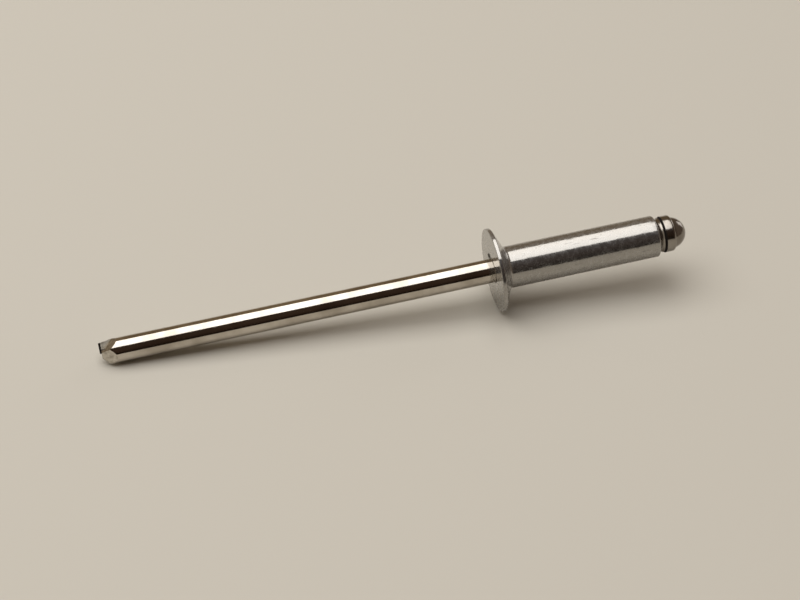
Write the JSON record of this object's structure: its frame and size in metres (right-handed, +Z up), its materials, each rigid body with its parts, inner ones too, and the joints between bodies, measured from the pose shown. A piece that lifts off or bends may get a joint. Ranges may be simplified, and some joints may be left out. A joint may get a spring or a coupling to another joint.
{
  "type": "blind rivet",
  "caption": "Blind rivet as supplied: a hollow aluminium body with a countersunk head on a long steel mandrel, whose collar and button stand past the tail and whose tip is pinched off.",
  "frame": {"origin": "centre of the rivet's bounding box at ground level, as it lies at rest", "axes": "+X along the rivet on the ground, from the pinched tip of the mandrel to its head; +Z up"},
  "size_m": [0.045, 0.0064, 0.0064],
  "materials": {
    "body_aluminium": "satin",
    "mandrel_steel": "polished"
  },
  "bodies": {
    "root": {"rivet_body": "body_aluminium", "mandrel": "mandrel_steel"}
  },
  "joints": []
}
